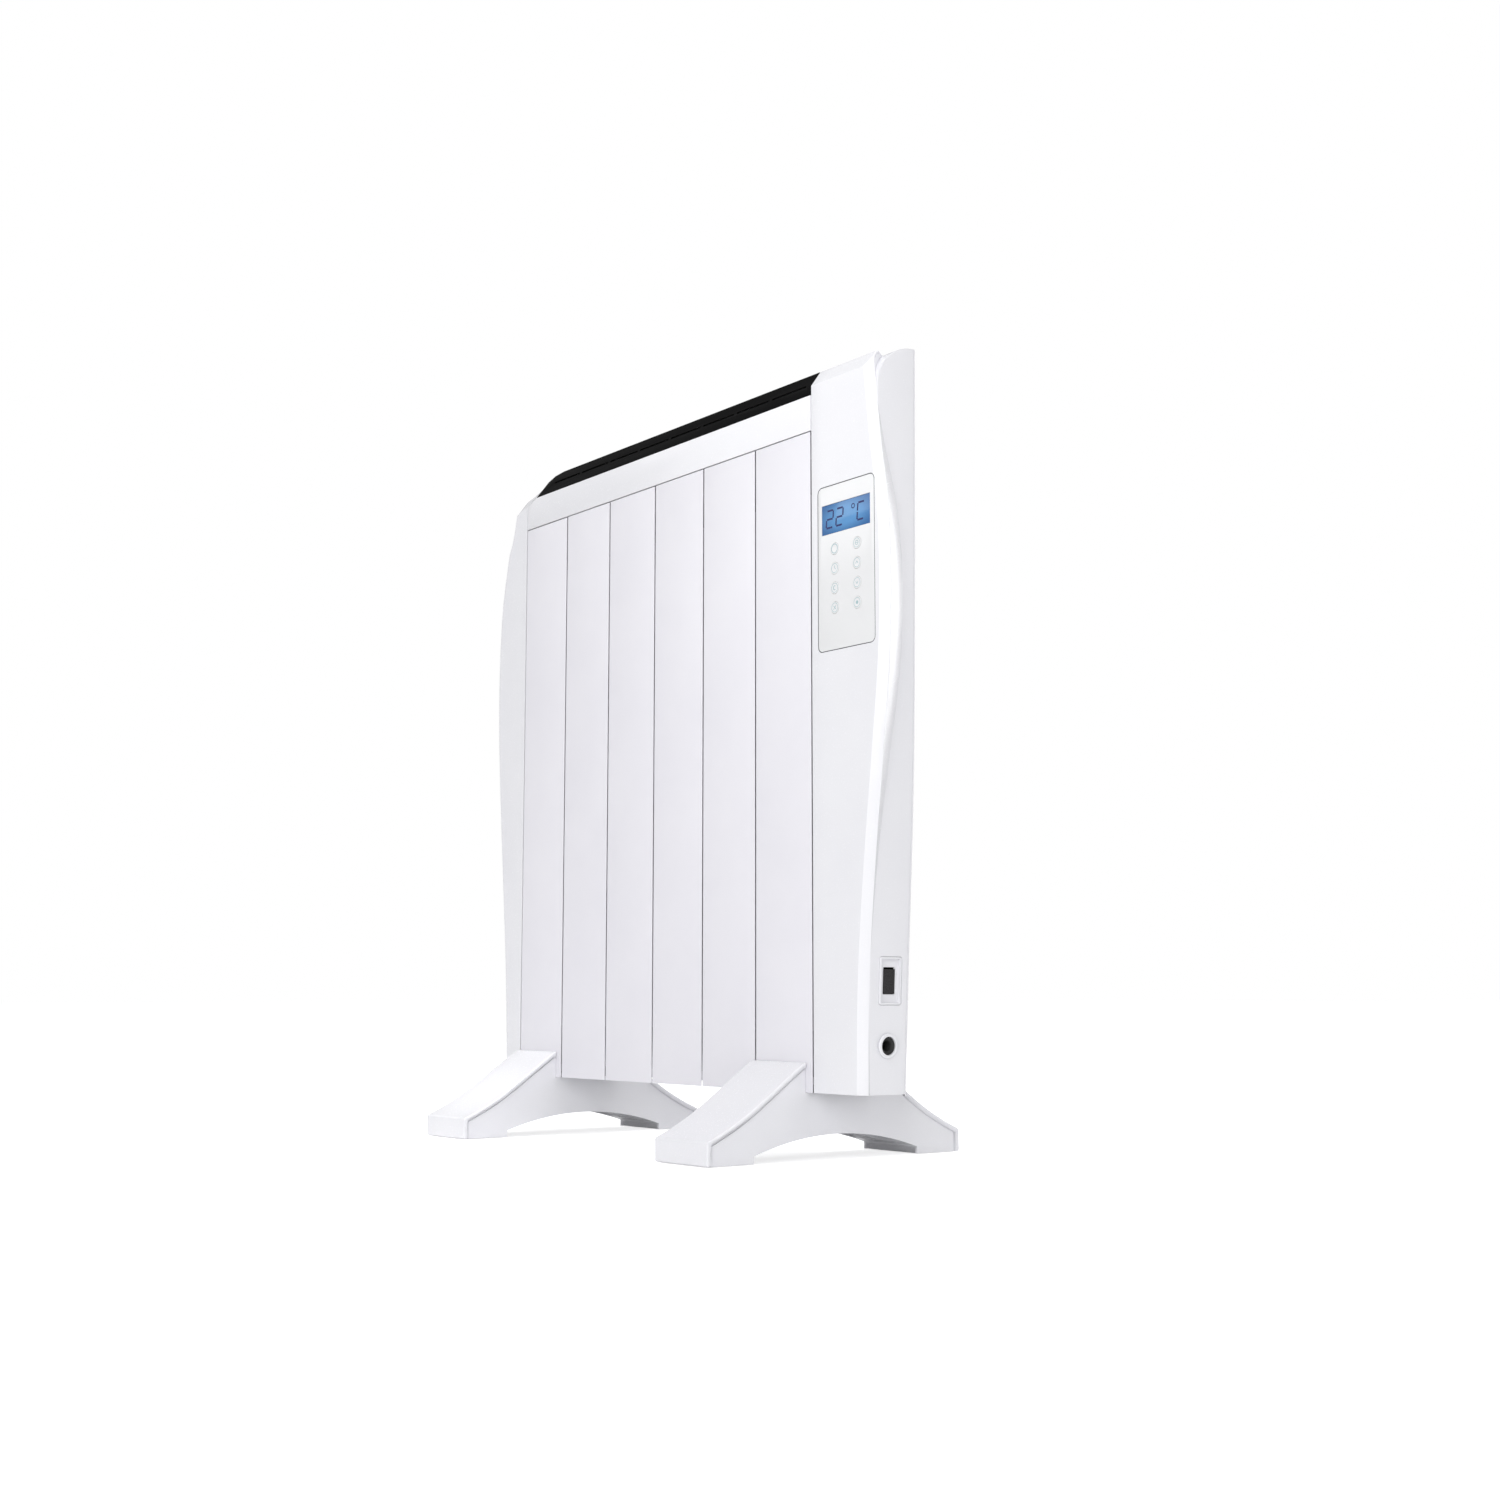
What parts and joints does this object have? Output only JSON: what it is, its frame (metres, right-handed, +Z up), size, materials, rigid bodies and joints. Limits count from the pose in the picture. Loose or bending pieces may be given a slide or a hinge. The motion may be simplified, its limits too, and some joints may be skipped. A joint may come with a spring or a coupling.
{
  "type": "oil filled radiator heater",
  "caption": "Slim upright electric panel radiator on two splayed feet, with swelling end covers, a slatted top grille, a side rocker switch and a control panel with keys.",
  "frame": {"origin": "bottom centre of the bounding box: on the floor, midway between the end covers and midway between the ends of the feet", "axes": "+X to the right seen from the front, +Y to the rear, +Z up"},
  "size_m": [0.6386, 0.2834, 0.6984],
  "materials": {
    "white_paint": "smooth satin powder coat on extruded aluminium",
    "white_plastic": "gloss white moulding",
    "black_plastic": "fine grained black moulding",
    "panel_white": "polished off-white",
    "lcd_blue": "clear window over a blue backlit display",
    "silicone": "moulded silicone",
    "circuit_board": "green solder mask",
    "bare_aluminium": "as extruded",
    "steel": "zinc plated",
    "brass": "machined brass",
    "black_rubber": "moulded rubber",
    "ceramic": "unglazed steatite"
  },
  "bodies": {
    "radiator": {"section_1": "white_paint", "section_2": "white_paint", "section_3": "white_paint", "section_4": "white_paint", "section_5": "white_paint", "section_6": "white_paint", "top_rail_front": "white_plastic", "top_rail_rear": "white_plastic", "left_cover_front": "white_plastic", "left_cover_rear": "white_plastic", "control_housing_front": "white_plastic", "control_housing_rear": "white_plastic", "right_foot": "white_plastic", "left_foot": "white_plastic", "switch_bezel": "white_plastic", "cable_gland": "white_plastic", "top_grille": "black_plastic", "switch_body": "black_plastic", "lcd_module": "black_plastic", "cord_clamp": "black_plastic", "control_fascia": "panel_white", "lcd_window": "lcd_blue", "key_mat": "silicone", "control_board": "circuit_board", "power_board": "circuit_board", "bottom_header": "bare_aluminium", "top_header": "bare_aluminium", "heater_sheath": "steel", "heat_shield": "steel", "plug_bottom_left": "brass", "plug_top_left": "brass", "plug_top_right": "brass", "heater_plug": "brass", "gasket_bottom_left": "black_rubber", "gasket_top_left": "black_rubber", "gasket_top_right": "black_rubber", "gasket_heater": "black_rubber", "gland_grommet": "black_rubber", "room_sensor": "black_rubber", "terminal_block": "ceramic", "thermal_cutout": "ceramic", "right_foot_bracket": "steel", "right_front_screw": "steel", "right_front_pad": "black_rubber", "right_rear_screw": "steel", "right_rear_pad": "black_rubber", "left_foot_bracket": "steel", "left_front_screw": "steel", "left_front_pad": "black_rubber", "left_rear_screw": "steel", "left_rear_pad": "black_rubber"},
    "switch_rocker": {"switch_rocker": "black_plastic"},
    "key_1": {"key_1": "panel_white"},
    "key_2": {"key_2": "panel_white"},
    "key_3": {"key_3": "panel_white"},
    "key_4": {"key_4": "panel_white"},
    "key_5": {"key_5": "panel_white"},
    "key_6": {"key_6": "panel_white"},
    "key_7": {"key_7": "panel_white"},
    "key_8": {"key_8": "panel_white"}
  },
  "joints": [
    {"name": "switch_rock", "type": "hinge", "parent": "radiator", "child": "switch_rocker", "pos_m": [0.2833, -0.0072, 0.15276], "axis": [0, 1, 0], "range_deg": [-14, 0]},
    {"name": "key_1_press", "type": "slide", "parent": "radiator", "child": "key_1", "axis": [0, 1, 0], "range_m": [0, 0.0005], "stiffness_N_per_m": 400},
    {"name": "key_2_press", "type": "slide", "parent": "radiator", "child": "key_2", "axis": [0, 1, 0], "range_m": [0, 0.0005], "stiffness_N_per_m": 400},
    {"name": "key_3_press", "type": "slide", "parent": "radiator", "child": "key_3", "axis": [0, 1, 0], "range_m": [0, 0.0005], "stiffness_N_per_m": 400},
    {"name": "key_4_press", "type": "slide", "parent": "radiator", "child": "key_4", "axis": [0, 1, 0], "range_m": [0, 0.0005], "stiffness_N_per_m": 400},
    {"name": "key_5_press", "type": "slide", "parent": "radiator", "child": "key_5", "axis": [0, 1, 0], "range_m": [0, 0.0005], "stiffness_N_per_m": 400},
    {"name": "key_6_press", "type": "slide", "parent": "radiator", "child": "key_6", "axis": [0, 1, 0], "range_m": [0, 0.0005], "stiffness_N_per_m": 400},
    {"name": "key_7_press", "type": "slide", "parent": "radiator", "child": "key_7", "axis": [0, 1, 0], "range_m": [0, 0.0005], "stiffness_N_per_m": 400},
    {"name": "key_8_press", "type": "slide", "parent": "radiator", "child": "key_8", "axis": [0, 1, 0], "range_m": [0, 0.0005], "stiffness_N_per_m": 400}
  ]
}
